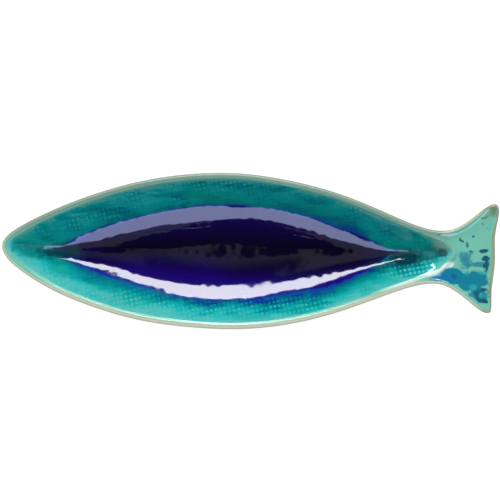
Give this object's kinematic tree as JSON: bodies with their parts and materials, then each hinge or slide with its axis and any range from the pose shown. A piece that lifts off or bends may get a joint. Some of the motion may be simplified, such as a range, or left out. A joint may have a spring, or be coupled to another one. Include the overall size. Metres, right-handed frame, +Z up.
{
  "type": "fish shaped platter",
  "caption": "Long shallow serving platter in the outline of a fish, with a deep boat shaped well, a rolled lip, a flat forked tail and an oval foot ring.",
  "frame": {"origin": "centre of the bounding box at its bottom, on the surface that the foot ring stands on", "axes": "+X from nose to tail along the fish, +Y toward its back, +Z up"},
  "size_m": [0.43, 0.1356, 0.0419],
  "materials": {
    "clay": "matte",
    "turquoise_glaze": "gloss",
    "cobalt_glaze": "gloss",
    "blue_glaze": "gloss",
    "outer_glaze": "gloss"
  },
  "bodies": {
    "root": {"stoneware_body": "clay", "foot_ring": "clay", "turquoise_glaze": "turquoise_glaze", "cobalt_glaze_pool": "cobalt_glaze", "tail_glaze_pool": "blue_glaze", "outer_glaze": "outer_glaze"}
  },
  "joints": []
}
